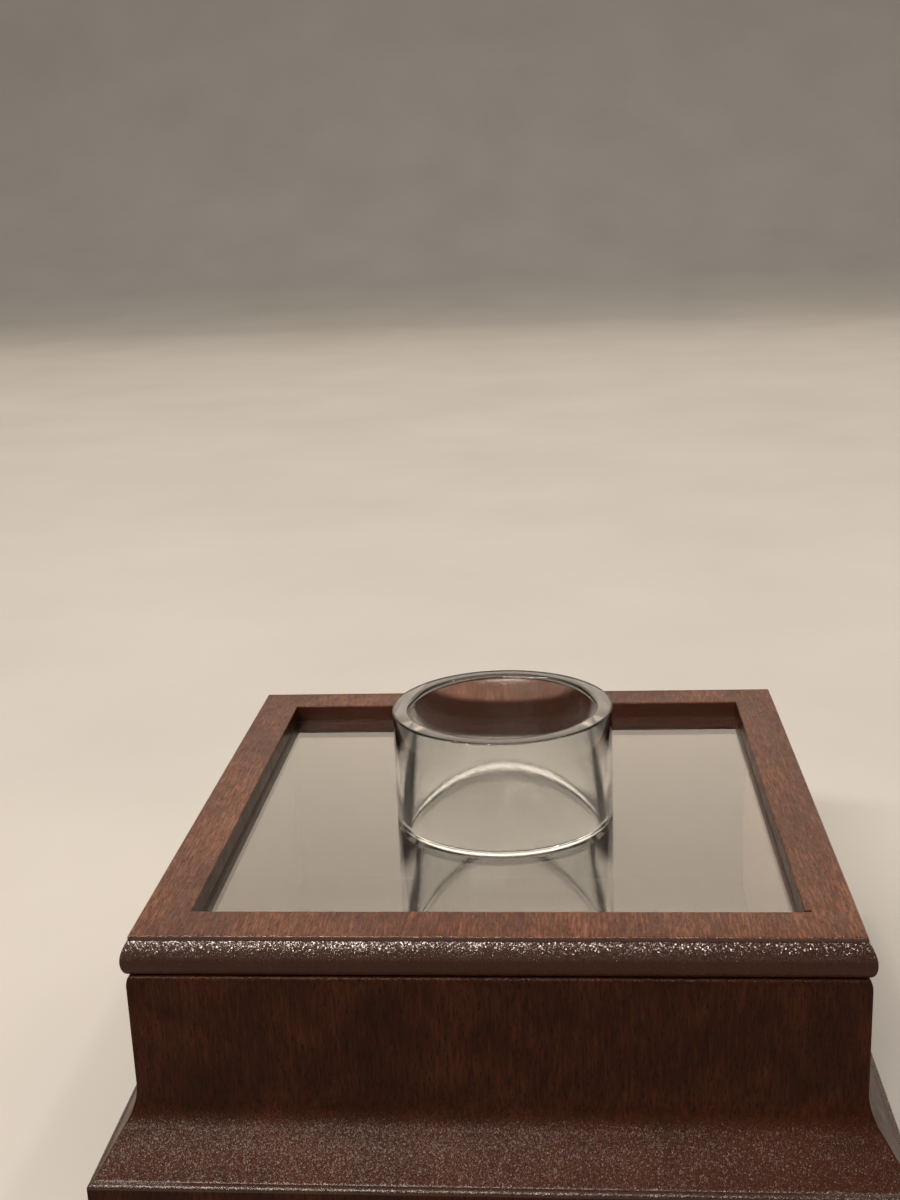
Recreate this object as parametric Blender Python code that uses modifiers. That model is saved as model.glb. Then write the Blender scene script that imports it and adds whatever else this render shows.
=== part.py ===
"""Glass-topped wooden shadow box with a clear ball ring. Metres, +Z up, front faces -Y.

Four moulded walls are mitred round a floor panel. The lid is one board with a window cut
in it: a glass pane sits in a rabbet under the window, held by four glazing beads, and two
brass butt hinges at the back carry the lid. A clear ring for a ball stands on the glass.
The origin is at the middle of the base, on the surface that the box stands on.
"""
import bpy
import bmesh
from math import cos, pi, radians, sin, sqrt, tan
from mathutils import Matrix, Vector

MM = 0.001
GAP = 0.3 * MM                      # clearance kept between pieces that touch
MITRE_SETBACK = 0.22 * MM           # each mitred end stops this far short of the diagonal

# Outside of the box. A "half" is the distance from the middle to a face.
BASE_HALF = 63.5 * MM
WALL_HALF = 56.3 * MM
WALL_INNER = 51.3 * MM
WALL_TOP = 44.1 * MM
WALL_BOTTOM = 1.5 * MM
WALL_TOP_ROUND = (0.65 * MM, 1.9 * MM)
COVE_TOP = 25.4 * MM
COVE_RADIUS = 11.0 * MM
COVE_ANGLE = 37.0                   # degrees from vertical where the cove turns straight
SKIRT_TOP = 12.3 * MM
SKIRT_ROUND = 0.9 * MM
SKIRT_FOOT_CHAMFER = 0.5 * MM
FLOOR_RABBET_HALF = 55.8 * MM
FLOOR_RABBET_TOP = 5.0 * MM

# Floor and linings
FLOOR_HALF = 55.5 * MM
FLOOR_Z = (1.7 * MM, 4.7 * MM)
LINING_Z = (5.0 * MM, 42.4 * MM)
LINING_HALF = (49.8 * MM, 51.0 * MM)
PAD_HALF = 49.5 * MM
PAD_Z = (5.0 * MM, 7.4 * MM)
PAD_EDGE = 0.8 * MM
FOOT_RADIUS = 6.0 * MM
FOOT_HEIGHT = 1.2 * MM
FOOT_PLACE = 54.0 * MM

# Lid
LID_TOP = 50.8 * MM
LID_HALF = 55.5 * MM
LID_EDGE = 0.25 * MM
LID_STEP = 0.85 * MM
BEAD_MIDDLE = 46.7 * MM
BEAD_PROUD = 1.15 * MM
BEAD_ROOT = 55.6 * MM
LID_UNDERSIDE = 44.4 * MM
TONGUE_HALF = 51.0 * MM
TONGUE_BOTTOM = 43.0 * MM
WINDOW_HALF = 47.5 * MM
GLASS_RABBET_HALF = 49.7 * MM
GLASS_RABBET_TOP = 47.9 * MM
GLASS_HALF = 49.4 * MM
GLASS_Z = (45.6 * MM, 47.6 * MM)
GLASS_EDGE = 0.15 * MM
GLAZING_HALF = (47.3 * MM, 49.4 * MM)
GLAZING_Z = (43.1 * MM, 45.3 * MM)
GLAZING_ROUND = 0.9 * MM

# Hinges: barrel behind the back wall, on the line between lid and wall
HINGE_AXIS_Y = 58.3 * MM
HINGE_AXIS_Z = 44.25 * MM
HINGE_X = 32.0 * MM
HINGE_HALF = 8.0 * MM
LEAF_FRONT = 52.3 * MM
LEAF_THICK = 0.9 * MM
BARREL_RADIUS = 1.4 * MM
PIN_HOLE_RADIUS = 0.9 * MM
PIN_RADIUS = 0.6 * MM
PIN_HEAD_RADIUS = 1.0 * MM
PIN_HEAD_HEIGHT = 0.45 * MM
KNUCKLE_HALF = 2.9 * MM             # half the length of the lid's middle knuckle
LEAF_SHOULDER = 56.5 * MM           # a leaf stops here beside the other leaf's knuckles
LEAF_SCREW_Y = 54.2 * MM
LEAF_SCREW_X = 4.8 * MM

# Screws: head radius, head height, shank radius, length under the head's top
LEAF_SCREW = (1.2 * MM, 0.55 * MM, 0.7 * MM)
CASE_LEAF_SCREW_LENGTH = 5.0 * MM
LID_LEAF_SCREW_LENGTH = 4.0 * MM
LEAF_SCREW_SINK = 0.1 * MM
FLOOR_SCREW = (2.2 * MM, 1.3 * MM, 1.1 * MM)
FLOOR_SCREW_LENGTH = 9.0 * MM
FLOOR_SCREW_PLACE = 53.5 * MM
SLOT_DEPTH = 0.3 * MM
SLOT_WIDTH = 0.36 * MM
PILOT_EXTRA = 0.35 * MM

# Magnetic catch at the front
CATCH_Y = -53.7 * MM
CATCH_RADIUS = 1.5 * MM
MAGNET_Z = (42.0 * MM, 43.9 * MM)
STRIKE_Z = (44.6 * MM, 45.4 * MM)

# Clear ring
RING_OUTER = 19.9 * MM
RING_WALL = 3.2 * MM
RING_Z = (47.9 * MM, 68.4 * MM)
RING_Y = -1.9 * MM
RING_EDGE = 0.35 * MM
RING_SEAT = 0.9 * MM                # chamfer inside the top rim, where a ball rests
RING_STEPS = 72

ROUND_STEPS = 20                    # sides of small screws, holes and discs
SIDES = (("front", 0), ("right", 90), ("back", 180), ("left", 270))


def clear_scene():
    for item in list(bpy.data.objects):
        bpy.data.objects.remove(item, do_unlink=True)


def new_collection(name):
    group = bpy.data.collections.new(name)
    bpy.context.scene.collection.children.link(group)
    return group


def material(name, colour, roughness, metallic=0.0, transmission=0.0):
    finish = bpy.data.materials.new(name)
    finish.use_nodes = True
    shader = finish.node_tree.nodes["Principled BSDF"]
    shader.inputs["Base Color"].default_value = (*colour, 1.0)
    shader.inputs["Roughness"].default_value = roughness
    shader.inputs["Metallic"].default_value = metallic
    shader.inputs["Transmission Weight"].default_value = transmission
    finish.diffuse_color = (*colour, 1.0)
    finish.metallic = metallic
    finish.roughness = roughness
    return finish


def arc(centre, radii, start, end, steps):
    """Points on an elliptic arc from start to end degrees, both ends included."""
    points = []
    for i in range(steps + 1):
        turn = radians(start + (end - start) * i / steps)
        points.append((centre[0] + radii[0] * cos(turn), centre[1] + radii[1] * sin(turn)))
    return points


class Builder:
    """Puts parts and cutters in their collections and keeps the shared finishes."""

    def __init__(self):
        self.parts = new_collection("shadow_box")
        self.cutters = new_collection("cutters")
        self.wood = material("dark_hardwood", (0.075, 0.022, 0.010), 0.32)
        self.panel = material("stained_plywood", (0.16, 0.075, 0.035), 0.6)
        self.velvet = material("black_velvet", (0.012, 0.010, 0.011), 0.95)
        self.felt = material("brown_felt", (0.055, 0.032, 0.022), 0.95)
        self.glass = material("clear_glass", (0.93, 0.97, 0.95), 0.02, transmission=1.0)
        self.acrylic = material("clear_acrylic", (0.97, 0.98, 0.98), 0.03, transmission=1.0)
        self.brass = material("brass", (0.66, 0.45, 0.18), 0.3, metallic=1.0)
        self.steel = material("plated_steel", (0.62, 0.62, 0.63), 0.3, metallic=1.0)

    def add(self, name, mesh, finish):
        piece = bpy.data.objects.new(name, mesh)
        mesh.materials.append(finish)
        self.parts.objects.link(piece)
        return piece

    def cutter(self, name, mesh):
        tool = bpy.data.objects.new(name, mesh)
        self.cutters.objects.link(tool)
        tool.hide_render = True
        tool.display_type = "WIRE"
        return tool

    def cut(self, piece, tool, operation="DIFFERENCE"):
        boolean = piece.modifiers.new(tool.name, "BOOLEAN")
        boolean.operation = operation
        boolean.solver = "EXACT"
        boolean.object = tool


def box_mesh(name, low, high):
    """A box between two corners."""
    mesh = bpy.data.meshes.new(name)
    low, high = Vector(low), Vector(high)
    bm = bmesh.new()
    bmesh.ops.create_cube(bm, size=1.0)
    bmesh.ops.scale(bm, vec=high - low, verts=bm.verts)
    bmesh.ops.translate(bm, vec=(low + high) / 2, verts=bm.verts)
    bm.to_mesh(mesh)
    bm.free()
    return mesh


def round_mesh(name, centre, radius, z_range, top_radius=None, steps=ROUND_STEPS):
    """An upright cylinder, or a cone where the top radius differs."""
    mesh = bpy.data.meshes.new(name)
    bm = bmesh.new()
    low, high = z_range
    bmesh.ops.create_cone(bm, cap_ends=True, segments=steps, radius1=radius,
                          radius2=radius if top_radius is None else top_radius, depth=high - low)
    bmesh.ops.translate(bm, vec=(centre[0], centre[1], (low + high) / 2), verts=bm.verts)
    bm.to_mesh(mesh)
    bm.free()
    mesh.shade_smooth()
    mesh.set_sharp_from_angle(angle=radians(35))
    return mesh


def barrel_mesh(name, centre_x, radius, half_length, steps=24):
    """A cylinder along X on the hinge axis."""
    mesh = bpy.data.meshes.new(name)
    bm = bmesh.new()
    bmesh.ops.create_cone(bm, cap_ends=True, segments=steps, radius1=radius, radius2=radius,
                          depth=2 * half_length)
    bmesh.ops.rotate(bm, matrix=Matrix.Rotation(pi / 2, 3, "Y"), verts=bm.verts)
    bmesh.ops.translate(bm, vec=(centre_x, HINGE_AXIS_Y, HINGE_AXIS_Z), verts=bm.verts)
    bm.to_mesh(mesh)
    bm.free()
    mesh.shade_smooth()
    mesh.set_sharp_from_angle(angle=radians(35))
    return mesh


def mitred_mesh(name, profile):
    """A front moulding: the profile (distance out, height) extruded between two mitres."""
    mesh = bpy.data.meshes.new(name)
    bm = bmesh.new()
    ring = [bm.verts.new((-(out - MITRE_SETBACK), -out, height)) for out, height in profile]
    face = bm.faces.new(ring)
    extruded = bmesh.ops.extrude_face_region(bm, geom=[face])
    for item in extruded["geom"]:
        if isinstance(item, bmesh.types.BMVert):
            item.co.x = -item.co.x
    bmesh.ops.recalc_face_normals(bm, faces=bm.faces)
    bm.to_mesh(mesh)
    bm.free()
    mesh.shade_smooth()
    mesh.set_sharp_from_angle(angle=radians(30))
    return mesh


def profile_object(builder, name, profile, finish, steps, place=(0, 0, 0), turn=0.0, smooth=True):
    """A turned shape: (radius, height) points, top to bottom on the outer side."""
    mesh = bpy.data.meshes.new(name)
    bm = bmesh.new()
    points = [bm.verts.new((radius, 0, height)) for radius, height in profile]
    for first, second in zip(points, points[1:]):
        bm.edges.new((first, second))
    if profile[0][0] > 0 and profile[-1][0] > 0:
        bm.edges.new((points[-1], points[0]))
    bm.to_mesh(mesh)
    bm.free()
    piece = builder.add(name, mesh, finish)
    piece.location = place
    piece.rotation_euler.z = turn
    screw = piece.modifiers.new("turn", "SCREW")
    screw.steps = steps
    screw.render_steps = steps
    screw.use_merge_vertices = True
    screw.merge_threshold = 0.00001
    screw.use_smooth_shade = smooth
    return piece


def wall_profile():
    """Outline of a wall's section, from the inner top edge round the outside."""
    round_out, round_down = WALL_TOP_ROUND
    points = [(WALL_INNER, WALL_TOP)]
    points += arc((WALL_HALF - round_out, WALL_TOP - round_down), (round_out, round_down), 90, 0, 5)
    cove_centre = (WALL_HALF + COVE_RADIUS, COVE_TOP)
    points += arc(cove_centre, (COVE_RADIUS, COVE_RADIUS), 180, 180 + COVE_ANGLE, 6)
    slope = tan(radians(COVE_ANGLE))
    round_centre = (BASE_HALF - SKIRT_ROUND, SKIRT_TOP - SKIRT_ROUND)
    slope_end = points[-1][0] + slope * (points[-1][1] - SKIRT_TOP)
    points.append((min(slope_end, BASE_HALF - SKIRT_ROUND), SKIRT_TOP))
    points += arc(round_centre, (SKIRT_ROUND, SKIRT_ROUND), 60, 0, 4)
    points.append((BASE_HALF, WALL_BOTTOM + SKIRT_FOOT_CHAMFER))
    points.append((BASE_HALF - SKIRT_FOOT_CHAMFER, WALL_BOTTOM))
    points.append((FLOOR_RABBET_HALF, WALL_BOTTOM))
    points.append((FLOOR_RABBET_HALF, FLOOR_RABBET_TOP))
    points.append((WALL_INNER, FLOOR_RABBET_TOP))
    return points


def side_point(place, turn):
    """A point on the front middle line, turned to another side."""
    spot = Matrix.Rotation(turn, 3, "Z") @ Vector((0, -place, 0))
    return spot.x, spot.y


def countersink(builder, name, spot, screw, head_top, point_down, length):
    """Cutters for one countersunk screw: its head's cone and its pilot hole."""
    head_radius, head_height, shank_radius = screw
    sign = -1 if point_down else 1
    head_end = head_top + sign * head_height
    tip = head_top + sign * (length + GAP)
    mouth = head_top - sign * 2 * GAP
    clear = shank_radius + PILOT_EXTRA
    low, high = sorted((mouth, tip))
    pilot = builder.cutter(name + "_pilot", round_mesh(name + "_pilot", spot, clear, (low, high)))
    steep = (head_radius - shank_radius) / head_height
    wide = head_radius + PILOT_EXTRA + steep * 2 * GAP
    if point_down:
        cone = round_mesh(name + "_sink", spot, clear, (head_end, mouth), top_radius=wide)
    else:
        cone = round_mesh(name + "_sink", spot, wide, (mouth, head_end), top_radius=clear)
    return [pilot, builder.cutter(name + "_sink", cone)]


def add_screw(builder, name, spot, screw, head_top, point_down, length, finish):
    """A countersunk slotted wood screw with its head's flat face at head_top."""
    head_radius, head_height, shank_radius = screw
    tip_height = 2 * shank_radius
    profile = [(0, 0), (head_radius, 0), (shank_radius, -head_height),
               (shank_radius, -(length - tip_height)), (0, -length)]
    piece = profile_object(builder, name, profile, finish, ROUND_STEPS, smooth=False)
    piece.location = (spot[0], spot[1], head_top)
    if not point_down:
        piece.rotation_euler.x = pi
    low, high = sorted((head_top - SLOT_DEPTH, head_top + SLOT_DEPTH))
    slot = box_mesh(name + "_slot", (spot[0] - SLOT_WIDTH / 2, spot[1] - 2 * head_radius, low),
                    (spot[0] + SLOT_WIDTH / 2, spot[1] + 2 * head_radius, high))
    builder.cut(piece, builder.cutter(name + "_slot", slot))
    return piece


def build_walls(builder):
    walls = {}
    for side, angle in SIDES:
        wall = builder.add(side + "_wall", mitred_mesh(side + "_wall", wall_profile()), builder.wood)
        wall.rotation_euler.z = radians(angle)
        walls[side] = wall
    return walls


def build_floor(builder, walls):
    low, high = FLOOR_Z
    corner = (FLOOR_HALF, FLOOR_HALF)
    panel = builder.add("floor_panel", box_mesh("floor_panel", (-corner[0], -corner[1], low),
                                                (*corner, high)), builder.panel)
    for side, angle in SIDES:
        name = "floor_screw_" + side
        spot = side_point(FLOOR_SCREW_PLACE, radians(angle))
        add_screw(builder, name, spot, FLOOR_SCREW, low, False, FLOOR_SCREW_LENGTH, builder.steel)
        for tool in countersink(builder, name, spot, FLOOR_SCREW, low, False, FLOOR_SCREW_LENGTH):
            builder.cut(panel, tool)
            builder.cut(walls[side], tool)


def build_linings(builder):
    low, high = LINING_Z
    inner, outer = LINING_HALF
    section = [(inner, high), (outer, high), (outer, low), (inner, low)]
    for side, angle in SIDES:
        name = side + "_lining"
        lining = builder.add(name, mitred_mesh(name, section), builder.velvet)
        lining.rotation_euler.z = radians(angle)
    pad = builder.add("floor_lining", box_mesh("floor_lining", (-PAD_HALF, -PAD_HALF, PAD_Z[0]),
                                               (PAD_HALF, PAD_HALF, PAD_Z[1])), builder.velvet)
    soften = pad.modifiers.new("edge", "BEVEL")
    soften.width = PAD_EDGE
    soften.segments = 2


def build_feet(builder):
    for across, x_sign in (("left", -1), ("right", 1)):
        for depth, y_sign in (("front", -1), ("back", 1)):
            name = f"foot_pad_{depth}_{across}"
            spot = (x_sign * FOOT_PLACE, y_sign * FOOT_PLACE)
            builder.add(name, round_mesh(name, spot, FOOT_RADIUS, (0, FOOT_HEIGHT), steps=32),
                        builder.felt)


def lid_profile():
    """The lid's section from the middle: top face, step, bead, underside and tongue."""
    points = [(0, LID_TOP), (LID_HALF - LID_EDGE, LID_TOP), (LID_HALF, LID_TOP - LID_EDGE)]
    bead_top = LID_TOP - LID_STEP
    points.append((LID_HALF, bead_top))
    upper = (BEAD_PROUD, bead_top - BEAD_MIDDLE)
    lower = (BEAD_PROUD, BEAD_MIDDLE - LID_UNDERSIDE)
    points += arc((BEAD_ROOT, BEAD_MIDDLE), upper, 90, 0, 7)
    points += arc((BEAD_ROOT, BEAD_MIDDLE), lower, 0, -90, 6)[1:]
    points += [(TONGUE_HALF, LID_UNDERSIDE), (TONGUE_HALF, TONGUE_BOTTOM), (0, TONGUE_BOTTOM)]
    return points


def build_lid_frame(builder):
    """One board turned in four steps, so its moulded edge meets in square corners."""
    corner_profile = [(out * sqrt(2), height) for out, height in lid_profile()]
    frame = profile_object(builder, "lid_frame", corner_profile, builder.wood, 4,
                           turn=pi / 4, smooth=False)
    over = LID_TOP + 2 * GAP
    under = TONGUE_BOTTOM - 2 * GAP
    window = box_mesh("window", (-WINDOW_HALF, -WINDOW_HALF, under), (WINDOW_HALF, WINDOW_HALF, over))
    rabbet = box_mesh("glass_rabbet", (-GLASS_RABBET_HALF, -GLASS_RABBET_HALF, under),
                      (GLASS_RABBET_HALF, GLASS_RABBET_HALF, GLASS_RABBET_TOP))
    builder.cut(frame, builder.cutter("window", window))
    builder.cut(frame, builder.cutter("glass_rabbet", rabbet))
    return frame


def build_glazing(builder):
    low, high = GLASS_Z
    pane = builder.add("glass_pane", box_mesh("glass_pane", (-GLASS_HALF, -GLASS_HALF, low),
                                              (GLASS_HALF, GLASS_HALF, high)), builder.glass)
    ground = pane.modifiers.new("ground_edge", "BEVEL")
    ground.width = GLASS_EDGE
    ground.segments = 1
    inner, outer = GLAZING_HALF
    bottom, top = GLAZING_Z
    section = [(inner, top), (outer, top), (outer, bottom)]
    section += arc((inner + GLAZING_ROUND, bottom + GLAZING_ROUND),
                   (GLAZING_ROUND, GLAZING_ROUND), 270, 180, 4)
    beads = []
    for side, angle in SIDES:
        name = "glazing_bead_" + side
        bead = builder.add(name, mitred_mesh(name, section), builder.wood)
        bead.rotation_euler.z = radians(angle)
        beads.append(bead)
    return [pane] + beads


def cut_mortises(builder, hinge, centre_x, back_wall, frame):
    """Shallow recesses for the two leaves, open at the back."""
    side = HINGE_HALF + GAP
    front = LEAF_FRONT - GAP
    back = HINGE_AXIS_Y + BARREL_RADIUS
    wall_low = WALL_TOP - LEAF_THICK - GAP
    lid_high = LID_UNDERSIDE + LEAF_THICK + GAP
    wall_box = box_mesh(hinge + "_wall_mortise", (centre_x - side, front, wall_low),
                        (centre_x + side, back, LID_UNDERSIDE))
    lid_box = box_mesh(hinge + "_lid_mortise", (centre_x - side, front, WALL_TOP),
                       (centre_x + side, back, lid_high))
    builder.cut(back_wall, builder.cutter(hinge + "_wall_mortise", wall_box))
    builder.cut(frame, builder.cutter(hinge + "_lid_mortise", lid_box))


def build_leaf(builder, name, centre_x, z_range, gaps, screws):
    """A plate with the full barrel, less the pin hole, the other leaf's knuckles, and screws."""
    low, high = z_range
    plate = box_mesh(name, (centre_x - HINGE_HALF, LEAF_FRONT, low),
                     (centre_x + HINGE_HALF, HINGE_AXIS_Y, high))
    leaf = builder.add(name, plate, builder.brass)
    barrel = barrel_mesh(name + "_barrel", centre_x, BARREL_RADIUS, HINGE_HALF)
    builder.cut(leaf, builder.cutter(name + "_barrel", barrel), "UNION")
    hole = barrel_mesh(name + "_pin_hole", centre_x, PIN_HOLE_RADIUS, HINGE_HALF + 2 * GAP)
    builder.cut(leaf, builder.cutter(name + "_pin_hole", hole))
    for number, (start, end) in enumerate(gaps):
        space = box_mesh(f"{name}_gap_{number}",
                         (centre_x + start, LEAF_SHOULDER, HINGE_AXIS_Z - 2 * BARREL_RADIUS),
                         (centre_x + end, HINGE_AXIS_Y + 2 * BARREL_RADIUS,
                          HINGE_AXIS_Z + 2 * BARREL_RADIUS))
        builder.cut(leaf, builder.cutter(f"{name}_gap_{number}", space))
    for tool in screws:
        builder.cut(leaf, tool)
    return leaf


def build_pin(builder, name, centre_x):
    """A plain pin with a domed head at each end."""
    half = HINGE_HALF + GAP
    profile = [(0, half + PIN_HEAD_HEIGHT)]
    profile += arc((0, half), (PIN_HEAD_RADIUS, PIN_HEAD_HEIGHT), 60, 0, 3)
    profile += [(PIN_RADIUS, half), (PIN_RADIUS, -half)]
    profile += arc((0, -half), (PIN_HEAD_RADIUS, PIN_HEAD_HEIGHT), 0, -60, 3)
    profile.append((0, -half - PIN_HEAD_HEIGHT))
    pin = profile_object(builder, name, profile, builder.brass, ROUND_STEPS)
    pin.rotation_euler.y = pi / 2
    pin.location = (centre_x, HINGE_AXIS_Y, HINGE_AXIS_Z)
    return pin


def build_hinge(builder, hinge, centre_x, back_wall, frame):
    """One butt hinge. Returns the pieces that move with the lid."""
    cut_mortises(builder, hinge, centre_x, back_wall, frame)
    head_tops = {"case": WALL_TOP - LEAF_SCREW_SINK, "lid": LID_UNDERSIDE + LEAF_SCREW_SINK}
    lengths = {"case": CASE_LEAF_SCREW_LENGTH, "lid": LID_LEAF_SCREW_LENGTH}
    wood = {"case": back_wall, "lid": frame}
    sinks = {"case": [], "lid": []}
    moving = []
    for leaf, head_top in head_tops.items():
        for hand, x_sign in (("left", -1), ("right", 1)):
            name = f"{hinge}_{leaf}_screw_{hand}"
            spot = (centre_x + x_sign * LEAF_SCREW_X, LEAF_SCREW_Y)
            down = leaf == "case"
            screw = add_screw(builder, name, spot, LEAF_SCREW, head_top, down, lengths[leaf],
                              builder.brass)
            if leaf == "lid":
                moving.append(screw)
            for tool in countersink(builder, name, spot, LEAF_SCREW, head_top, down, lengths[leaf]):
                sinks[leaf].append(tool)
                builder.cut(wood[leaf], tool)
    knuckle = KNUCKLE_HALF + GAP
    beyond = HINGE_HALF + GAP
    build_leaf(builder, hinge + "_case_leaf", centre_x, (WALL_TOP - LEAF_THICK, WALL_TOP),
               [(-knuckle, knuckle)], sinks["case"])
    lid_leaf = build_leaf(builder, hinge + "_lid_leaf", centre_x,
                          (LID_UNDERSIDE, LID_UNDERSIDE + LEAF_THICK),
                          [(-beyond, -KNUCKLE_HALF), (KNUCKLE_HALF, beyond)], sinks["lid"])
    build_pin(builder, hinge + "_pin", centre_x)
    moving.append(lid_leaf)
    return moving


def build_catch(builder, front_wall, frame):
    """A magnet in the front wall's top edge and a steel disc under the lid."""
    spot = (0, CATCH_Y)
    builder.add("catch_magnet", round_mesh("catch_magnet", spot, CATCH_RADIUS, MAGNET_Z), builder.steel)
    strike = builder.add("catch_strike", round_mesh("catch_strike", spot, CATCH_RADIUS, STRIKE_Z),
                         builder.steel)
    hole = CATCH_RADIUS + GAP
    pocket = round_mesh("magnet_pocket", spot, hole, (MAGNET_Z[0] - GAP, LID_UNDERSIDE))
    recess = round_mesh("strike_recess", spot, hole, (WALL_TOP, STRIKE_Z[1] + GAP))
    builder.cut(front_wall, builder.cutter("magnet_pocket", pocket))
    builder.cut(frame, builder.cutter("strike_recess", recess))
    return strike


def build_ring(builder):
    low, high = RING_Z
    inner = RING_OUTER - RING_WALL
    profile = [(inner + RING_SEAT, high), (RING_OUTER - RING_EDGE, high),
               (RING_OUTER, high - RING_EDGE), (RING_OUTER, low + RING_EDGE),
               (RING_OUTER - RING_EDGE, low), (inner + RING_EDGE, low),
               (inner, low + RING_EDGE), (inner, high - RING_SEAT)]
    return profile_object(builder, "ball_ring", profile, builder.acrylic, RING_STEPS,
                          place=(0, RING_Y, 0))


def hang_on_pivot(builder, name, place, pieces):
    """Parents the pieces to an empty on their joint's axis and leaves them where they are."""
    pivot = bpy.data.objects.new(name, None)
    builder.parts.objects.link(pivot)
    pivot.location = place
    for piece in pieces:
        piece.parent = pivot
        piece.matrix_parent_inverse = Matrix.Translation(place).inverted()
    return pivot


def main():
    clear_scene()
    builder = Builder()
    walls = build_walls(builder)
    build_floor(builder, walls)
    build_linings(builder)
    build_feet(builder)
    frame = build_lid_frame(builder)
    lid = [frame] + build_glazing(builder)
    for hinge, centre_x in (("left_hinge", -HINGE_X), ("right_hinge", HINGE_X)):
        lid += build_hinge(builder, hinge, centre_x, walls["back"], frame)
    lid.append(build_catch(builder, walls["front"], frame))
    ring = build_ring(builder)
    hang_on_pivot(builder, "lid_pivot", (0, HINGE_AXIS_Y, HINGE_AXIS_Z), lid)
    hang_on_pivot(builder, "ring_guide", (0, RING_Y, RING_Z[0]), [ring])
    bpy.context.view_layer.update()


main()
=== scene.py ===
"""Looks of the glass-topped wooden shadow box and its clear ball ring, built round the CAD frame."""
from math import cos, pi, radians, sin

import bmesh
import bpy
from mathutils import Matrix, Vector, noise


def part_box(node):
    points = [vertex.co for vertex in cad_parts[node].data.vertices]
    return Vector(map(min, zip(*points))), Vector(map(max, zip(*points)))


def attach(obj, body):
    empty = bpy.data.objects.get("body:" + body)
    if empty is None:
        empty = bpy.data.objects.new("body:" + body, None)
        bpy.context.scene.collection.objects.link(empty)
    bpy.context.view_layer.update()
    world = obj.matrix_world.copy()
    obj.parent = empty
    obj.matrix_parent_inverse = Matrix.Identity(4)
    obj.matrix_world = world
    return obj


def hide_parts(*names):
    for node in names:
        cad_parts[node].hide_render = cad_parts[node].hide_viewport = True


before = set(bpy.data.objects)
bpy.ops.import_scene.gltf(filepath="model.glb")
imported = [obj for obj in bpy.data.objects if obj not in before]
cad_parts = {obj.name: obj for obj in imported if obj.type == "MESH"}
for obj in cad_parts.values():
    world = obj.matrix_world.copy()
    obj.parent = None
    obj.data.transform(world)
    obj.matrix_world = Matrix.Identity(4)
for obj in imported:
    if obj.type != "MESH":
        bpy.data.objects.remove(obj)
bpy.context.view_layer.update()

MM = 0.001
SIDES = (("front", 0), ("right", 90), ("back", 180), ("left", 270))

# Where the CAD pieces are
lid_low, lid_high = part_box("lid_frame")
glass_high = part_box("glass_pane")[1]
wall_low, wall_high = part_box("front_wall")
ring_low, ring_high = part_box("ball_ring")
pad_low, pad_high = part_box("floor_lining")
front_lining_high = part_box("front_lining")[1]
glazing_low, glazing_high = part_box("glazing_bead_front")

LID_TOP = lid_high.z
LID_UNDERSIDE = wall_high.z + 0.3 * MM
BASE_HALF = -wall_low.y
WALL_TOP = wall_high.z

# Lid details
LID_HALF = 55.5 * MM
LID_EDGE = 0.3 * MM
LID_STEP = 0.85 * MM
BEAD_ROOT = LID_HALF + 0.1 * MM
BEAD_PROUD = lid_high.x - BEAD_ROOT
BEAD_STEPS = 16
BEAD_MIDDLE = LID_TOP - 4.1 * MM
TONGUE_HALF = 51.0 * MM
WINDOW_HALF = 47.5 * MM
RABBET_HALF = 49.7 * MM
CORNER_OVERCUT = (1.0 * MM, 0.45 * MM, 0.9 * MM)  # long, wide and deep
RABBET_TOP = glass_high.z + 0.08 * MM

# Wall details
WALL_HALF = 56.3 * MM
WALL_INNER = 51.3 * MM
WALL_ROUND = (0.65 * MM, 1.9 * MM)  # out and down
COVE_TOP = 25.4 * MM
COVE_RADIUS = 11.0 * MM
COVE_ANGLE = 37.0
SKIRT_TOP = 12.3 * MM
SKIRT_ROUND = 0.9 * MM
FLOOR_RABBET = (55.8 * MM, 5.0 * MM)  # half width and top
MITRE = 0.02 * MM
SEAT_ROOM = 0.15 * MM
MAGNET_ROOM = 0.1 * MM

# Ring details
RING_WALL = 3.2 * MM
RING_EDGE = 0.4 * MM
RING_SEAT = 0.9 * MM

# The camera: its place, its turns in degrees, and its lens on a 36 mm sensor
CAMERA_PLACE = Vector((0.01302, -0.25256, 0.15798))
CAMERA_PITCH = 15.51
CAMERA_YAW = -4.95
CAMERA_ROLL = -2.27
CAMERA_LENS = 43.96

# Stains: dark, middle and light of the grain. The case's are far darker than the lid's: partly the
# wood's own dark stain, partly painted shade on the case's upright faces
CASE_STAIN_AND_SHADE_COLOURS = ((0.006, 0.0016, 0.0006), (0.017, 0.0042, 0.0015), (0.036, 0.0094, 0.0032))
LID_COLOURS = ((0.038, 0.0110, 0.0055), (0.082, 0.0240, 0.0110), (0.190, 0.0680, 0.0330))
# Painted shade for the lid's moulded edges
LID_EDGE_PAINTED_SHADE = (0.017, 0.0034, 0.0013)
# Painted light for the case's cove
CASE_COVE_PAINTED_LIGHT = (0.030, 0.0080, 0.0042)

# How much of the tone comes from wide bands, from fine streaks and from the figure, and
# how far the tone strays from the middle colour before it is all dark or all light
CASE_SHARES = (0.24, 0.40, 0.36)
LID_SHARES = (0.26, 0.46, 0.28)
CASE_SPREAD = 0.17
LID_SPREAD = 0.135

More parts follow.
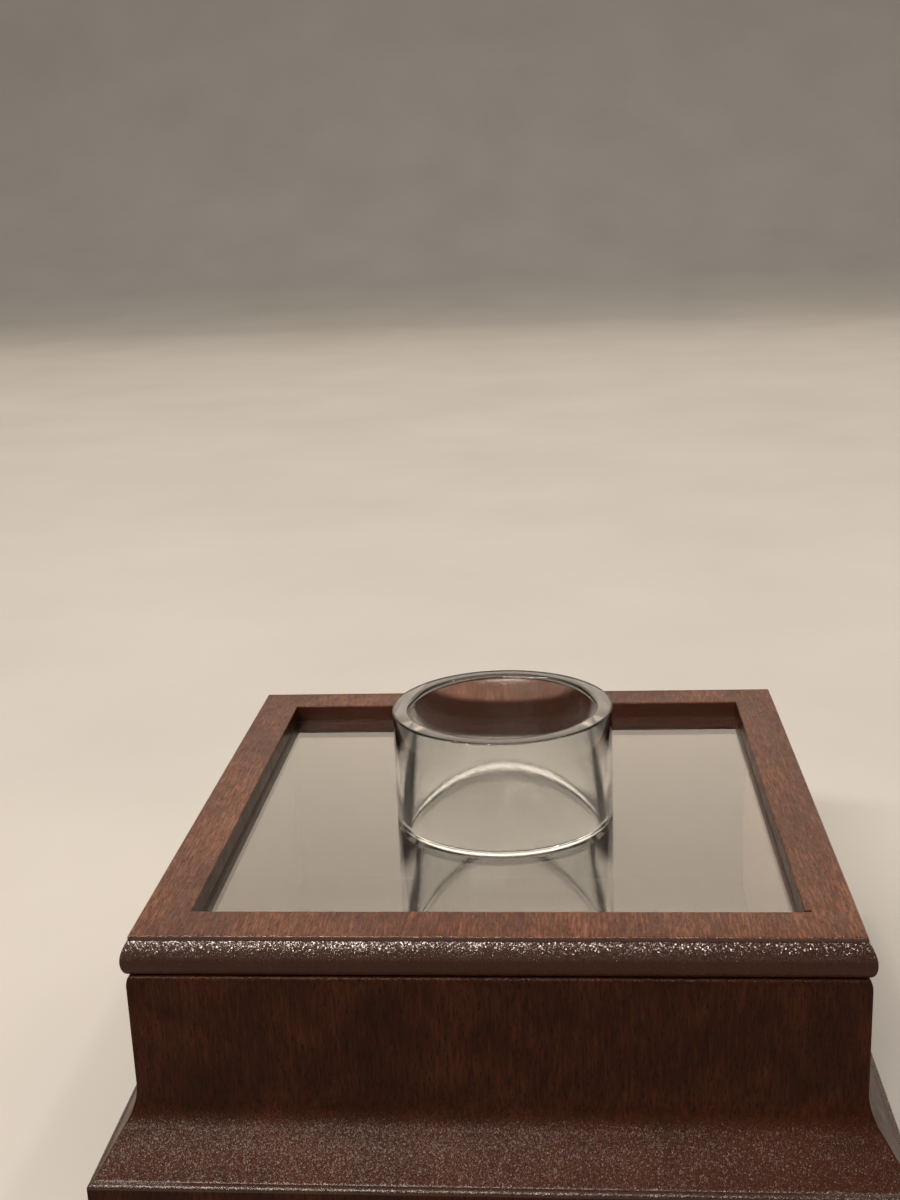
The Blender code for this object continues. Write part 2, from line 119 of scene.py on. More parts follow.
# Lacquers: pit size and steepness, the coat on the flats, the bands that have more of it
# (low, high, their fades, and what they add), and the shader's reflection settings
CASE_GLOSS = {"pit": 0.17 * MM, "steep": 0.13, "coat": 0.12,
              "slopes": ((12.4 * MM, 16.5 * MM, (0.5 * MM, 5.0 * MM), 0.15),
                         (11.5 * MM, 12.4 * MM, (0.2 * MM, 0.2 * MM), 0.75)),
              "specular": 0.06, "tint": (1.0, 0.50, 0.32),
              "rough": 0.27}
LID_GLOSS = {"pit": 0.18 * MM, "steep": 0.18, "coat": 0.30,
             "slopes": ((48.0 * MM, 50.7 * MM, (0.8 * MM, 0.08 * MM), 0.65),),
             "specular": 0.10, "tint": (1.0, 0.62, 0.45),
             "rough": 0.16}

# Lamps: name, place, size, power and colour
BOX_MIDDLE = (0, 0, 0.04)
WARM = (1.0, 0.88, 0.76)
LAMPS = (("back_bank", (0.0, 1.35, 0.85), (2.4, 0.8), 9.0, (1.0, 0.84, 0.67)),
         ("front_bank", (-0.35, -1.5, 0.65), (1.6, 0.8), 1.5, WARM),
         ("front_strip", (-0.38, -1.0, 0.92), (0.9, 0.08), 19.0, WARM),
         ("lamp_left", (-0.45, 0.30, 1.2), (0.08, 0.08), 2.5, WARM),
         ("lamp_right", (0.55, 0.35, 1.2), (0.08, 0.08), 2.5, WARM))


# ---------------------------------------------------------------- materials

class Shade:
    """Short names for making the nodes of one material."""

    def __init__(self, name):
        self.material = bpy.data.materials.new(name)
        self.material.use_nodes = True
        self.tree = self.material.node_tree
        self.tree.nodes.clear()
        self.coords = self.node("ShaderNodeTexCoord").outputs["Object"]

    def node(self, kind, inputs=None, **settings):
        made = self.tree.nodes.new(kind)
        for key, value in settings.items():
            setattr(made, key, value)
        for key, value in (inputs or {}).items():
            self.put(made.inputs[key], value)
        return made

    def put(self, socket, value):
        if isinstance(value, bpy.types.NodeSocket):
            self.tree.links.new(value, socket)
        else:
            socket.default_value = value

    def place(self):
        """The X, Y and Z of the point, on the piece."""
        return self.node("ShaderNodeSeparateXYZ", {"Vector": self.coords}).outputs

    def stretched(self, scale, offset=(0, 0, 0), turn=(0, 0, 0)):
        return self.node("ShaderNodeMapping", {"Vector": self.coords, "Location": offset,
                                               "Rotation": turn, "Scale": scale}).outputs[0]

    def noise(self, vector, scale, detail=2.0, rough=0.5, distortion=0.0):
        return self.node("ShaderNodeTexNoise", {"Vector": vector, "Scale": scale, "Detail": detail,
                                                "Roughness": rough,
                                                "Distortion": distortion}).outputs["Fac"]

    def ramp(self, value, stops):
        made = self.node("ShaderNodeValToRGB", {"Fac": value})
        ramp = made.color_ramp
        while len(ramp.elements) < len(stops):
            ramp.elements.new(0.5)
        for element, (place, colour) in zip(ramp.elements, stops):
            element.position = place
            if not hasattr(colour, "__len__"):
                colour = (colour,) * 3
            element.color = (*colour, 1.0)
        return made.outputs["Color"]

    def math(self, operation, first, second=0.0, clamp=False):
        made = self.node("ShaderNodeMath", operation=operation, use_clamp=clamp)
        self.put(made.inputs[0], first)
        self.put(made.inputs[1], second)
        return made.outputs[0]

    def mix(self, factor, first, second, blend="MIX"):
        made = self.node("ShaderNodeMix", data_type="RGBA", blend_type=blend)
        self.put(made.inputs[0], factor)
        for socket, value in ((made.inputs[6], first), (made.inputs[7], second)):
            self.put(socket, value if isinstance(value, bpy.types.NodeSocket) else (*value, 1.0))
        return made.outputs[2]

    def bump(self, height, distance, strength=1.0, normal=None):
        made = self.node("ShaderNodeBump", {"Height": height, "Distance": distance,
                                            "Strength": strength})
        if normal is not None:
            self.put(made.inputs["Normal"], normal)
        return made.outputs[0]

    def principled(self, **inputs):
        names = {key.replace("_", " ").title().replace("Ior", "IOR"): value
                 for key, value in inputs.items()}
        shader = self.node("ShaderNodeBsdfPrincipled")
        for key, value in names.items():
            if hasattr(value, "__len__") and len(value) == 3:
                value = (*value, 1.0)
            self.put(shader.inputs[key], value)
        self.node("ShaderNodeOutputMaterial", {"Surface": shader.outputs[0]})
        return shader


def along_grain(axis, stretch):
    """Noise scales for features drawn out along one axis of the piece."""
    return tuple(1.0 / stretch if name == axis else 1.0 for name in "XYZ")


def pitted_normal(s, plain, normal, size, steep):
    """Pitted lacquer: small cells, each leaning its own way by up to the steepness."""
    cells = s.node("ShaderNodeTexVoronoi", {"Vector": plain, "Scale": 1.0 / size})
    lean = s.node("ShaderNodeVectorMath", {0: cells.outputs["Color"], 1: (0.5, 0.5, 0.5)},
                  operation="SUBTRACT").outputs[0]
    lean = s.node("ShaderNodeVectorMath", {0: lean, 1: (2 * steep,) * 3},
                  operation="MULTIPLY").outputs[0]
    leaning = s.node("ShaderNodeVectorMath", {0: normal, 1: lean}, operation="ADD").outputs[0]
    return s.node("ShaderNodeVectorMath", {0: leaning}, operation="NORMALIZE").outputs[0]


def wood_colour(s, grain, offset, colours, shares, spread, figure_turn):
    """Streaky stained grain with fine dark pores. Returns the colour and the pores."""
    streaks = s.noise(s.stretched(along_grain(grain, 9), offset), 2300, 2.0, 0.55, 0.3)
    bands = s.noise(s.stretched(along_grain(grain, 4), offset), 75, 3.0, 0.55, 0.5)
    figure = s.noise(s.stretched((1.0, 0.35, 1.0), offset, figure_turn), 95, 2.0, 0.5, 0.4)
    pores = s.ramp(s.noise(s.stretched(along_grain(grain, 5), offset), 3600, 2.0, 0.5),
                   [(0.56, 0.0), (0.66, 1.0)])
    bands_share, streaks_share, figure_share = shares
    tone = s.math("ADD", s.math("MULTIPLY", bands, bands_share),
                  s.math("MULTIPLY", streaks, streaks_share))
    tone = s.math("ADD", tone, s.math("MULTIPLY", figure, figure_share))
    dark, middle, light = colours
    colour = s.ramp(tone, [(0.5 - spread, dark), (0.50, middle), (0.5 + spread, light)])
    colour = s.mix(s.math("MULTIPLY", pores, 0.7), colour, [c * 0.35 for c in dark])
    return colour, streaks, pores


def between(s, value, low, high, fades):
    """1 where the value lies between low and high, fading to 0 below and above."""
    rise = s.math("DIVIDE", s.math("SUBTRACT", value, low - fades[0]), fades[0], clamp=True)
    fall = s.math("DIVIDE", s.math("SUBTRACT", high + fades[1], value), fades[1], clamp=True)
    return s.math("MULTIPLY", rise, fall)


def lacquer(s, colour, streaks, pores, offset, gloss):
    """Satin lacquer over the colour: finely pitted, and thicker on the moulded slopes."""
    plain = s.stretched((1, 1, 1), offset)
    rough = s.ramp(s.noise(plain, 300, 4.0, 0.6), [(0.3, 0.34), (0.7, 0.50)])
    grain_height = s.math("SUBTRACT", streaks, pores)
    under = s.bump(grain_height, 0.00004, 0.6)
    over = pitted_normal(s, plain, under, gloss["pit"], gloss["steep"])
    x, y, height = s.place()
    out = s.math("MAXIMUM", s.math("ABSOLUTE", x), s.math("ABSOLUTE", y))
    outside = s.math("GREATER_THAN", out, LID_HALF - 0.2 * MM)
    coat = gloss["coat"]
    for low, high, fades, added in gloss["slopes"]:
        moulded = s.math("MULTIPLY", between(s, height, low, high, fades), outside)
        coat = s.math("ADD", coat, s.math("MULTIPLY", moulded, added))
    s.principled(base_color=colour, roughness=rough, normal=under,
                 specular_ior_level=gloss["specular"], specular_tint=gloss["tint"],
                 coat_weight=coat,
                 coat_roughness=gloss["rough"], coat_ior=1.5, coat_normal=over)


def case_wood(name, offset):
    """Near-black red-brown with upright grain and a slanting figure. The near-black is partly the
    wood's stain and partly painted shade on the upright faces, and the red-brown added in the cove is
    painted light.
    """
    s = Shade(name)
    # The case's colours are partly painted shade: darker than the lid's so the upright faces look
    # shaded
    colour, streaks, pores = wood_colour(s, "Z", offset, CASE_STAIN_AND_SHADE_COLOURS, CASE_SHARES, CASE_SPREAD,
                                         (0, radians(40), 0))
    height = s.place()[2]
    # Painted light: red-brown is added on the lower cove, which slopes up towards the lamps
    sloped = between(s, height, SKIRT_TOP, SKIRT_TOP + 4.0 * MM, (0.6 * MM, 6.0 * MM))
    colour = s.mix(s.math("MULTIPLY", sloped, 0.6), colour, CASE_COVE_PAINTED_LIGHT, "ADD")
    lacquer(s, colour, streaks, pores, offset, CASE_GLOSS)
    return s.material


def lid_wood_material():
    """Red-brown, its grain front to back, with painted shade darkening the moulded edges below the
    top face.
    """
    s = Shade("lid_wood")
    offset = (0.7, 0.4, 0.2)
    colour, streaks, pores = wood_colour(s, "Y", offset, LID_COLOURS, LID_SHARES, LID_SPREAD,
                                         (0, 0, radians(70)))
    height = s.place()[2]
    # Painted shade: the step, bead and tongue below the top face are darkened almost to the case's
    # tone
    below = s.math("DIVIDE", s.math("SUBTRACT", LID_TOP - 0.1 * MM, height), 0.35 * MM, clamp=True)
    colour = s.mix(s.math("MULTIPLY", below, 0.94), colour, LID_EDGE_PAINTED_SHADE)
    lacquer(s, colour, streaks, pores, offset, LID_GLOSS)
    return s.material


def let_lamps_through(s, shader):
    """Puts a transparent shader in for shadow rays, so that lamps light what is behind."""
    clear = s.node("ShaderNodeBsdfTransparent").outputs[0]
    path = s.node("ShaderNodeLightPath").outputs["Is Shadow Ray"]
    mixed = s.node("ShaderNodeMixShader", {0: path, 1: shader.outputs[0], 2: clear}).outputs[0]
    output = next(n for n in s.tree.nodes if n.type == "OUTPUT_MATERIAL")
    s.put(output.inputs["Surface"], mixed)


def glass_material():
    """Clear float glass with wiped smears, a faint wave, and dust, most of it at the front."""
    s = Shade("pane_glass")
    plain = s.stretched((1, 1, 1))
    wiped = s.stretched((1.0, 0.35, 1.0), (0.3, 0.1, 0), (0, 0, radians(35)))
    smears = s.noise(wiped, 45, 5.0, 0.65, 1.4)
    depth = s.place()[1]
    near_front = s.math("DIVIDE", s.math("SUBTRACT", -36.0 * MM, depth), 9.0 * MM, clamp=True)
    specks = s.ramp(s.noise(plain, 2600, 2.0, 0.7), [(0.60, 0.0), (0.66, 1.0)])
    dust = s.math("MULTIPLY", specks, s.math("ADD", s.math("MULTIPLY", near_front, 0.35), 0.06))
    rough = s.math("ADD", s.math("MULTIPLY", s.ramp(smears, [(0.45, 0.0), (0.75, 1.0)]), 0.05),
                   s.math("MULTIPLY", dust, 0.4))
    wave = s.bump(s.noise(plain, 28, 1.0), 0.00004, 0.4)
    tint = s.mix(s.math("MULTIPLY", smears, 0.25), (0.96, 0.95, 0.92), (0.78, 0.76, 0.71))
    clear = s.math("SUBTRACT", 1.0, s.math("MULTIPLY", dust, 0.7))
    shader = s.principled(base_color=tint, roughness=rough, ior=1.52, transmission_weight=clear,
                          normal=wave)
    let_lamps_through(s, shader)
    return s.material


def acrylic_material():
    """Clear cast acrylic: fine turning marks, a few rubs."""
    s = Shade("ring_acrylic")
    rings = s.stretched((1.0, 1.0, 12.0))
    rubs = s.noise(s.stretched((1, 1, 3)), 420, 3.0, 0.7)
    rough = s.ramp(rubs, [(0.5, 0.015), (0.75, 0.07)])
    marks = s.bump(s.noise(rings, 900, 2.0), 0.000006, 0.5)
    shader = s.principled(base_color=(0.97, 0.985, 0.98), roughness=rough, ior=1.49,
                          transmission_weight=1.0, normal=marks)
    let_lamps_through(s, shader)
    return s.material


def velvet_material():
    s = Shade("dark_velvet")
    plain = s.stretched((1, 1, 1))
    brushed = s.noise(s.stretched((1.0, 0.4, 1.0)), 60, 3.0, 0.6, 0.8)
    pile = s.noise(plain, 5200, 2.0, 0.7)
    tone = s.math("ADD", s.math("MULTIPLY", brushed, 0.65), s.math("MULTIPLY", pile, 0.35))
    colour = s.ramp(tone, [(0.35, (0.010, 0.007, 0.006)), (0.52, (0.018, 0.013, 0.011)),
                           (0.7, (0.034, 0.025, 0.021))])
    nap = s.bump(pile, 0.00012, 0.8)
    s.principled(base_color=colour, roughness=0.92, specular_ior_level=0.2, sheen_weight=0.12,
                 sheen_roughness=0.35, sheen_tint=(0.75, 0.5, 0.42), normal=nap)
    return s.material


def felt_material():
    s = Shade("brown_felt")
    plain = s.stretched((1, 1, 1))
    fibres = s.noise(plain, 2600, 5.0, 0.75, 1.5)
    colour = s.ramp(fibres, [(0.3, (0.030, 0.018, 0.012)), (0.7, (0.095, 0.060, 0.042))])
    s.principled(base_color=colour, roughness=0.95, sheen_weight=0.3, sheen_roughness=0.5,
                 normal=s.bump(fibres, 0.00025, 0.9))
    return s.material


def brass_material():
    s = Shade("dulled_brass")
    plain = s.stretched((1, 1, 1))
    tarnish = s.noise(plain, 380, 5.0, 0.65, 0.8)
    brushed = s.noise(s.stretched((0.06, 1.0, 1.0)), 5200, 2.0)
    colour = s.ramp(tarnish, [(0.35, (0.30, 0.17, 0.055)), (0.5, (0.56, 0.37, 0.14)),
                              (0.68, (0.74, 0.53, 0.24))])
    rough = s.ramp(tarnish, [(0.3, 0.46), (0.7, 0.24)])
    s.principled(base_color=colour, metallic=1.0, roughness=rough,
                 normal=s.bump(brushed, 0.000012, 0.7))
    return s.material


def steel_material():
    s = Shade("plated_steel")
    plain = s.stretched((1, 1, 1))
    spots = s.noise(plain, 900, 4.0, 0.6)
    colour = s.ramp(spots, [(0.3, (0.38, 0.38, 0.39)), (0.7, (0.62, 0.62, 0.61))])
    s.principled(base_color=colour, metallic=1.0, roughness=s.ramp(spots, [(0.3, 0.42), (0.7, 0.26)]),
                 normal=s.bump(s.noise(plain, 5000, 2.0), 0.000008, 0.6))
    return s.material


def plywood_material():
    s = Shade("stained_plywood")
    fibre = s.noise(s.stretched((0.08, 1.0, 1.0)), 900, 5.0, 0.6, 0.4)
    bands = s.noise(s.stretched((0.25, 1.0, 1.0)), 80, 3.0, 0.5, 1.2)
    tone = s.math("ADD", s.math("MULTIPLY", fibre, 0.45), s.math("MULTIPLY", bands, 0.55))
    colour = s.ramp(tone, [(0.38, (0.085, 0.036, 0.016)), (0.52, (0.16, 0.075, 0.034)),
                           (0.66, (0.25, 0.13, 0.062))])
    s.principled(base_color=colour, roughness=0.62, normal=s.bump(fibre, 0.00006, 0.7))
    return s.material


# ---------------------------------------------------------------- shapes

def arc(centre, radii, start, end, steps):
    """Points on an elliptic arc from start to end degrees, both ends included."""
    points = []
    for i in range(steps + 1):
        turn = radians(start + (end - start) * i / steps)
        points.append((centre[0] + radii[0] * cos(turn), centre[1] + radii[1] * sin(turn)))
    return points


def mesh_object(name, bm, material):
    mesh = bpy.data.meshes.new(name)
    bm.to_mesh(mesh)
    bm.free()
    mesh.shade_smooth()
    mesh.set_sharp_from_angle(angle=radians(32))
    mesh.materials.append(material)
    piece = bpy.data.objects.new(name, mesh)
    bpy.context.scene.collection.objects.link(piece)
    return piece


def box_bmesh(low, high):
    low, high = Vector(low), Vector(high)
    bm = bmesh.new()
    bmesh.ops.create_cube(bm, size=1.0)
    bmesh.ops.scale(bm, vec=high - low, verts=bm.verts)
    bmesh.ops.translate(bm, vec=(low + high) / 2, verts=bm.verts)
    return bm


def mitred_bmesh(profile, setback):
    """The section (distance out, height) run along the front between two mitres."""
    bm = bmesh.new()
    face = bm.faces.new([bm.verts.new((setback - out, -out, height)) for out, height in profile])
    extruded = bmesh.ops.extrude_face_region(bm, geom=[face])
    for item in extruded["geom"]:
        if isinstance(item, bmesh.types.BMVert):
            item.co.x = -item.co.x
    bmesh.ops.recalc_face_normals(bm, faces=bm.faces)
    return bm


def square_ring_bmesh(profile):
    """A closed section (distance out, height) carried round a square."""
    bm = bmesh.new()
    corners = ((-1, -1), (1, -1), (1, 1), (-1, 1))
    rings = [[bm.verts.new((x * out, y * out, height)) for out, height in profile]
             for x, y in corners]
    count = len(profile)
    for side in range(4):
        first, second = rings[side], rings[(side + 1) % 4]
        for i in range(count):
            j = (i + 1) % count
            bm.faces.new((first[i], second[i], second[j], first[j]))
    bmesh.ops.recalc_face_normals(bm, faces=bm.faces)
    return bm


def turned_bmesh(profile, steps):
    """A closed section (radius, height) turned about Z."""
    bm = bmesh.new()
    rings = []
    for k in range(steps):
        turn = 2 * pi * k / steps
        rings.append([bm.verts.new((r * cos(turn), r * sin(turn), z)) for r, z in profile])
    count = len(profile)
    for k in range(steps):
        first, second = rings[k], rings[(k + 1) % steps]
        for i in range(count):
            j = (i + 1) % count
            bm.faces.new((first[i], second[i], second[j], first[j]))
    bmesh.ops.recalc_face_normals(bm, faces=bm.faces)
    return bm


def apply_modifiers(piece):
    """Bakes the piece's modifiers into its mesh."""
    graph = bpy.context.evaluated_depsgraph_get()
    mesh = bpy.data.meshes.new_from_object(piece.evaluated_get(graph))
    piece.modifiers.clear()
    piece.data = mesh


def subtract(piece, bm):
    """Takes the shape out of the piece."""
    tool = mesh_object("tool", bm, piece.data.materials[0])
    boolean = piece.modifiers.new("cut", "BOOLEAN")
    boolean.operation = "DIFFERENCE"
    boolean.solver = "EXACT"
    boolean.object = tool
    bpy.context.view_layer.update()
    apply_modifiers(piece)
    bpy.data.objects.remove(tool, do_unlink=True)


def cut(piece, low, high):
    """Takes a box out of the piece."""
    subtract(piece, box_bmesh(low, high))


def cut_round(piece, centre, radius, low, high):
    """Takes an upright cylinder out of the piece."""
    bm = bmesh.new()
    bmesh.ops.create_cone(bm, cap_ends=True, segments=48, radius1=radius, radius2=radius,
                          depth=high - low)
    bmesh.ops.translate(bm, vec=(centre.x, centre.y, (low + high) / 2), verts=bm.verts)
    subtract(piece, bm)


def soften(piece, width):
    """Rounds the piece's sharp edges."""
    bevel = piece.modifiers.new("soften", "BEVEL")
    bevel.width = width
    bevel.segments = 2
    bevel.limit_method = "ANGLE"
    bevel.angle_limit = radians(40)
    bevel.harden_normals = True
    bpy.context.view_layer.update()
    apply_modifiers(piece)


def finish_piece(piece, body, slot, *nodes):
    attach(piece, body)
    if nodes:
        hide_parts(*nodes)
    return piece


# ---------------------------------------------------------------- pieces

def wall_profile():
    """The walls' section: round top, flat, cove, skirt, and the rabbet for the floor."""
    round_out, round_down = WALL_ROUND
    points = [(WALL_INNER, WALL_TOP)]
    points += arc((WALL_HALF - round_out, WALL_TOP - round_down), WALL_ROUND, 90, 0, 10)
    points += arc((WALL_HALF + COVE_RADIUS, COVE_TOP), (COVE_RADIUS, COVE_RADIUS),
                  180, 180 + COVE_ANGLE, 20)
    points.append((BASE_HALF - SKIRT_ROUND, SKIRT_TOP))
    points += arc((BASE_HALF - SKIRT_ROUND, SKIRT_TOP - SKIRT_ROUND),
                  (SKIRT_ROUND, SKIRT_ROUND), 60, 0, 8)
    points += [(BASE_HALF, wall_low.z + 0.5 * MM), (BASE_HALF - 0.5 * MM, wall_low.z)]
    rabbet_half, rabbet_top = FLOOR_RABBET
    points += [(rabbet_half, wall_low.z), (rabbet_half, rabbet_top), (WALL_INNER, rabbet_top)]
    return points


def build_walls():
    for number, (side, angle) in enumerate(SIDES):
        finish = case_wood(side + "_wall_wood", (0.31 * number, 0.17 * number, 0.0))
        wall = mesh_object(side + "_moulding", mitred_bmesh(wall_profile(), MITRE), finish)
        if side == "back":
            for hinge in ("left_hinge", "right_hinge"):
                # The back wall is shaped at the front and turned, so X and Y change sign
                low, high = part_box(hinge + "_case_leaf")
                cut(wall, (-high.x - SEAT_ROOM, -high.y, WALL_TOP - 1 * MM),
                    (-low.x + SEAT_ROOM, -low.y + SEAT_ROOM, WALL_TOP + 1 * MM))
        if side == "front":
            low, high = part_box("catch_magnet")
            radius = (high.x - low.x) / 2 + MAGNET_ROOM
            cut_round(wall, (low + high) / 2, radius, low.z, WALL_TOP + 1 * MM)
        soften(wall, 0.12 * MM)
        wall.rotation_euler.z = radians(angle)
        finish_piece(wall, "case", "wood", side + "_wall")


def lid_profile():
    """The lid's section: top, step, bead, tongue, and the rabbet for the glass."""
    edge = LID_EDGE
    bead_top = LID_TOP - LID_STEP
    points = arc((WINDOW_HALF + edge, LID_TOP - edge), (edge, edge), 180, 90, 4)
    points += arc((LID_HALF - edge, LID_TOP - edge), (edge, edge), 90, 0, 4)
    points.append((LID_HALF, bead_top))
    for i in range(BEAD_STEPS + 1):
        down = i / BEAD_STEPS
        out = BEAD_ROOT + BEAD_PROUD * (1 - (1 - down) ** 2)
        points.append((out, bead_top - (bead_top - BEAD_MIDDLE) * down))
    points += arc((BEAD_ROOT, BEAD_MIDDLE), (BEAD_PROUD, BEAD_MIDDLE - LID_UNDERSIDE), 0, -90, 14)[1:]
    points += [(TONGUE_HALF, LID_UNDERSIDE), (TONGUE_HALF, lid_low.z), (RABBET_HALF, lid_low.z),
               (RABBET_HALF, RABBET_TOP), (WINDOW_HALF, RABBET_TOP)]
    return points


def build_lid():
    finish = lid_wood_material()
    lid = mesh_object("lid_board", square_ring_bmesh(lid_profile()), finish)
    for hinge in ("left_hinge", "right_hinge"):
        low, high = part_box(hinge + "_lid_leaf")
        cut(lid, (low.x - SEAT_ROOM, low.y - SEAT_ROOM, LID_UNDERSIDE - 1 * MM),
            (high.x + SEAT_ROOM, high.y, LID_UNDERSIDE + 1 * MM))
    low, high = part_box("catch_strike")
    radius = (high.x - low.x) / 2 + MAGNET_ROOM
    cut_round(lid, (low + high) / 2, radius, LID_UNDERSIDE - 1 * MM, high.z)
    overcut_long, overcut_wide, overcut_deep = CORNER_OVERCUT
    cut(lid, (WINDOW_HALF - 0.2 * MM, -WINDOW_HALF - 0.1 * MM, LID_TOP - overcut_deep),
        (WINDOW_HALF + overcut_long, -WINDOW_HALF + overcut_wide, LID_TOP + 1 * MM))
    soften(lid, 0.14 * MM)
    finish_piece(lid, "lid", "wood", "lid_frame")
    return finish


def build_glazing(lid_finish):
    inner = -glazing_high.y
    outer = -glazing_low.y
    low, high = glazing_low.z, glazing_high.z
    bend = 1.1 * MM
    section = [(inner, high), (outer, high), (outer, low)]
    section += arc((inner + bend, low + bend), (bend, bend), 270, 180, 10)
    for side, angle in SIDES:
        bead = mesh_object("glazing_strip_" + side, mitred_bmesh(section, 0.03 * MM), lid_finish)
        soften(bead, 0.1 * MM)
        bead.rotation_euler.z = radians(angle)
        finish_piece(bead, "lid", "wood", "glazing_bead_" + side)


def build_ring():
    """The clear tube, with polished rims and a seat for the ball inside the top rim."""
    outer = (ring_high.x - ring_low.x) / 2
    inner = outer - RING_WALL
    low = glass_high.z + 0.02 * MM
    high = ring_high.z
    edge = RING_EDGE
    seat = RING_SEAT
    profile = arc((outer - edge, high - edge), (edge, edge), 90, 0, 5)
    profile += arc((outer - edge, low + edge), (edge, edge), 0, -90, 5)
    profile += arc((inner + edge, low + edge), (edge, edge), 270, 180, 5)
    profile += arc((inner + seat, high - seat), (seat, seat), 180, 90, 6)
    ring = mesh_object("clear_ring", turned_bmesh(profile, 160), acrylic_material())
    ring.location = ((ring_low.x + ring_high.x) / 2, (ring_low.y + ring_high.y) / 2, 0)
    finish_piece(ring, "ring", "acrylic", "ball_ring")


def padded_board(name, low, high, finish, crown, edge=0.5 * MM, cell=2.0 * MM):
    """A card board under velvet: crowned faces, soft edges and a faintly uneven pile."""
    size = Vector(high) - Vector(low)
    bm = box_bmesh(low, high)
    bmesh.ops.bevel(bm, geom=bm.edges[:], offset=edge, segments=3, profile=0.5, affect="EDGES")
    for axis in range(3):
        cuts = max(1, int(size[axis] / cell))
        for i in range(1, cuts):
            place = Vector(low)
            place[axis] += size[axis] * i / cuts
            direction = Vector((0, 0, 0))
            direction[axis] = 1
            geometry = bm.verts[:] + bm.edges[:] + bm.faces[:]
            bmesh.ops.bisect_plane(bm, geom=geometry, plane_co=place, plane_no=direction)
    thin = min(range(3), key=lambda axis: size[axis])
    wide = [axis for axis in range(3) if axis != thin]
    middle = (Vector(low) + Vector(high)) / 2
    for vert in bm.verts:
        reach = 1.0
        for axis in wide:
            reach *= 1 - abs(2 * (vert.co[axis] - middle[axis]) / size[axis]) ** 6
        side = 1 if vert.co[thin] > middle[thin] else -1
        nap = noise.noise(vert.co * 320) * 0.12 * MM
        pull = (crown * max(reach, 0.0) + nap - crown)
        vert.co[thin] += side * pull * 0.5
    return mesh_object(name, bm, finish)


def build_linings():
    velvet = velvet_material()
    pad = padded_board("velvet_floor_pad", pad_low, pad_high, velvet, 0.5 * MM)
    finish_piece(pad, "case", "velvet", "floor_lining")
    for side, _ in SIDES:
        low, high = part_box(side + "_lining")
        if side in ("left", "right"):
            low.y, high.y = front_lining_high.y, -front_lining_high.y
        board = padded_board(f"velvet_{side}_board", low, high, velvet, 0.25 * MM, edge=0.35 * MM)
        finish_piece(board, "case", "velvet", side + "_lining")


def build_feet():
    felt = felt_material()
    for depth in ("front", "back"):
        for across in ("left", "right"):
            node = f"foot_pad_{depth}_{across}"
            low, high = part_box(node)
            radius = (high.x - low.x) / 2
            height = high.z - low.z
            edge = 0.35 * MM
            bm = bmesh.new()
            bmesh.ops.create_cone(bm, cap_ends=True, segments=64, radius1=radius, radius2=radius,
                                  depth=height)
            bmesh.ops.bevel(bm, geom=[e for e in bm.edges if len(e.link_faces) == 2
                                      and e.calc_face_angle() > 1], offset=edge, segments=3,
                            affect="EDGES")
            for vert in bm.verts:
                fuzz = 1 + noise.noise(vert.co * 900) * 0.02
                vert.co.x *= fuzz
                vert.co.y *= fuzz
            bmesh.ops.translate(bm, vec=(low + high) / 2, verts=bm.verts)
            pad = mesh_object("felt_" + node, bm, felt)
            finish_piece(pad, "case", "felt", node)


def dress_cad_nodes():
    """Gives the CAD pieces that keep their own shape their finishes."""
    brass, steel, plywood = brass_material(), steel_material(), plywood_material()
    glass = glass_material()
    for name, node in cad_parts.items():
        if node.hide_render:
            continue
        if "hinge" in name:
            finish = brass
        elif name == "glass_pane":
            finish = glass
        elif name == "floor_panel":
            finish = plywood
        else:
            finish = steel
        node.data.materials.clear()
        node.data.materials.append(finish)


# ---------------------------------------------------------------- studio

def build_studio():
    """A plain pale floor that curves up behind the box."""
    s = Shade("pale_floor")
    soft = s.noise(s.stretched((1, 1, 1)), 9, 3.0)
    colour = s.ramp(soft, [(0.3, (0.49, 0.475, 0.455)), (0.7, (0.53, 0.515, 0.495))])
    s.principled(base_color=colour, roughness=0.75, specular_ior_level=0.2)
    bm = bmesh.new()
    profile = [(-4.0, 0.0), (1.6, 0.0)]
    profile += [(1.6 + 0.8 * sin(radians(a)), 0.8 - 0.8 * cos(radians(a))) for a in range(10, 91, 10)]
    profile.append((2.4, 3.0))
    rows = [[bm.verts.new((x, y, z)) for y, z in profile] for x in (-4.0, 4.0)]
    for i in range(len(profile) - 1):
        bm.faces.new((rows[0][i], rows[1][i], rows[1][i + 1], rows[0][i + 1]))
    sweep = mesh_object("studio_sweep", bm, s.material)


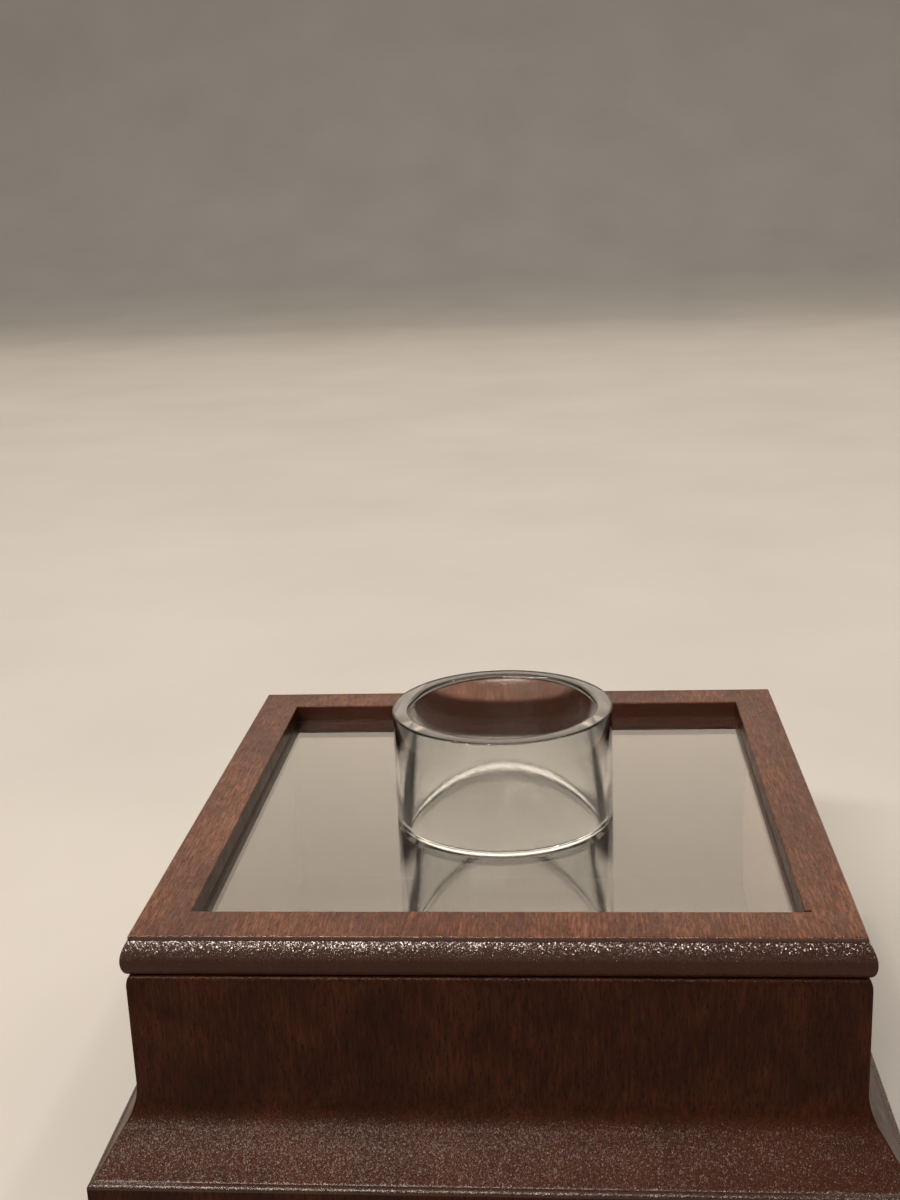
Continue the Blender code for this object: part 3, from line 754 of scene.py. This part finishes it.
def add_softbox(name, place, size, power, colour):
    """A rectangular lamp aimed at the middle of the box."""
    light = bpy.data.lights.new(name, "AREA")
    light.shape = "RECTANGLE"
    light.size, light.size_y = size
    light.energy = power
    light.color = colour
    lamp = bpy.data.objects.new(name, light)
    lamp.location = place
    lamp.rotation_mode = "QUATERNION"
    lamp.rotation_quaternion = (Vector(BOX_MIDDLE) - Vector(place)).to_track_quat("-Z", "Y")
    bpy.context.scene.collection.objects.link(lamp)


def build_world():
    """A dim room, brighter overhead and towards the back."""
    world = bpy.data.worlds.new("studio")
    world.use_nodes = True
    bpy.context.scene.world = world
    tree = world.node_tree
    background = tree.nodes["Background"]
    place = tree.nodes.new("ShaderNodeTexCoord")
    slant = tree.nodes.new("ShaderNodeVectorMath")
    slant.operation = "DOT_PRODUCT"
    slant.inputs[1].default_value = (0.0, 0.55, 0.83)
    ramp = tree.nodes.new("ShaderNodeValToRGB")
    tree.links.new(place.outputs["Generated"], slant.inputs[0])
    tree.links.new(slant.outputs["Value"], ramp.inputs[0])
    tree.links.new(ramp.outputs[0], background.inputs["Color"])
    low, high = ramp.color_ramp.elements
    low.position, high.position = 0.1, 0.95
    low.color = (0.10, 0.092, 0.085, 1.0)
    high.color = (0.95, 0.87, 0.77, 1.0)


def build_camera():
    pitch, yaw, roll = (radians(a) for a in (CAMERA_PITCH, CAMERA_YAW, CAMERA_ROLL))
    ahead = Vector((sin(yaw) * cos(pitch), cos(yaw) * cos(pitch), -sin(pitch)))
    level = Vector((cos(yaw), -sin(yaw), 0))
    upright = level.cross(ahead)
    across = cos(roll) * level + sin(roll) * upright
    up = cos(roll) * upright - sin(roll) * level
    data = bpy.data.cameras.new("camera")
    data.lens = CAMERA_LENS
    data.sensor_width = 36.0
    data.clip_start = 0.01
    camera = bpy.data.objects.new("camera", data)
    turn = Matrix((across, up, -ahead)).transposed().to_4x4()
    camera.matrix_world = Matrix.Translation(CAMERA_PLACE) @ turn
    bpy.context.scene.collection.objects.link(camera)
    bpy.context.scene.camera = camera


build_camera()
build_walls()
lid_wood = build_lid()
build_glazing(lid_wood)
build_ring()
build_linings()
build_feet()
dress_cad_nodes()
build_studio()
build_world()
for lamp in LAMPS:
    add_softbox(*lamp)
bpy.context.scene.view_settings.view_transform = "Standard"
